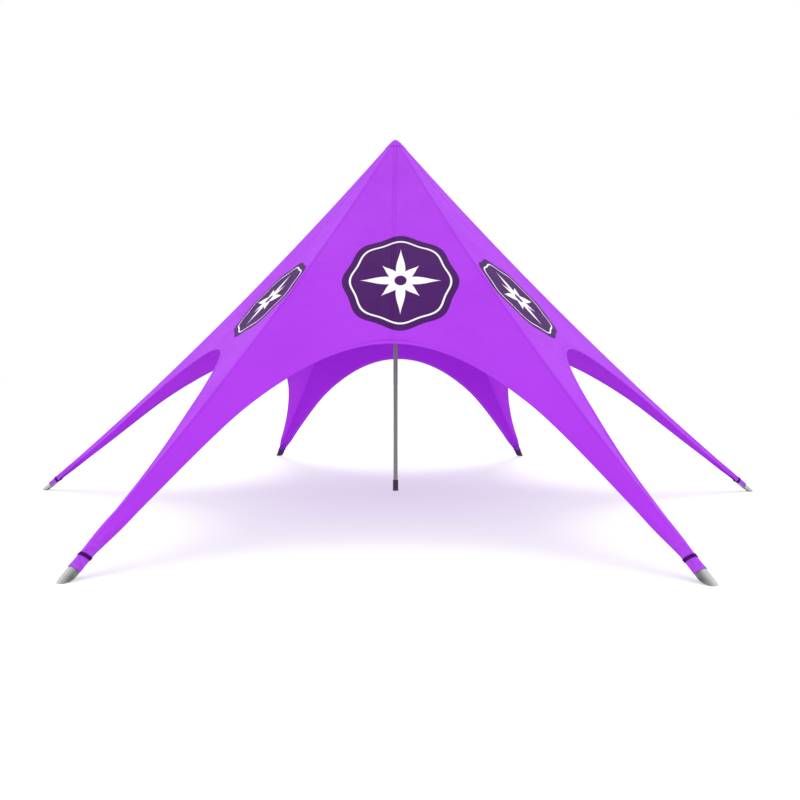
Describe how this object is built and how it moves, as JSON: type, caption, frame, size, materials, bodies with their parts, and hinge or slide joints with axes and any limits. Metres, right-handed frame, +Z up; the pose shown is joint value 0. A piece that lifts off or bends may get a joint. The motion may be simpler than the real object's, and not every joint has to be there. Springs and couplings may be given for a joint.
{
  "type": "star tent",
  "caption": "Single-pole star tent: a tensioned polyester skin with an open arch in every bay and arms that end in half-round metal shoes.",
  "frame": {"origin": "on the ground under the axis of the centre pole", "axes": "+Z up along the pole; +X from the pole to the tip of the right arm; the front bay faces -Y"},
  "size_m": [10, 8.6828, 4.8809],
  "materials": {
    "skin": "vivid purple coated polyester, fine plain weave, satin",
    "webbing": "dark aubergine woven webbing, matt",
    "shoe_metal": "brushed silver",
    "pole_coating": "mid grey powder coat, satin",
    "black_rubber": "moulded black rubber, matt"
  },
  "bodies": {
    "root": {"panel_front": "skin", "panel_right_front": "skin", "panel_right_back": "skin", "panel_back": "skin", "panel_left_back": "skin", "panel_left_front": "skin", "peak_cap": "skin", "strap_right": "webbing", "strap_back_right": "webbing", "strap_back_left": "webbing", "strap_left": "webbing", "strap_front_left": "webbing", "strap_front_right": "webbing", "shoe_right": "shoe_metal", "shoe_back_right": "shoe_metal", "shoe_back_left": "shoe_metal", "shoe_left": "shoe_metal", "shoe_front_left": "shoe_metal", "shoe_front_right": "shoe_metal", "pad_right": "black_rubber", "pad_back_right": "black_rubber", "pad_back_left": "black_rubber", "pad_left": "black_rubber", "pad_front_left": "black_rubber", "pad_front_right": "black_rubber", "pole": "pole_coating", "pole_head": "shoe_metal", "pole_foot": "black_rubber"}
  },
  "joints": []
}
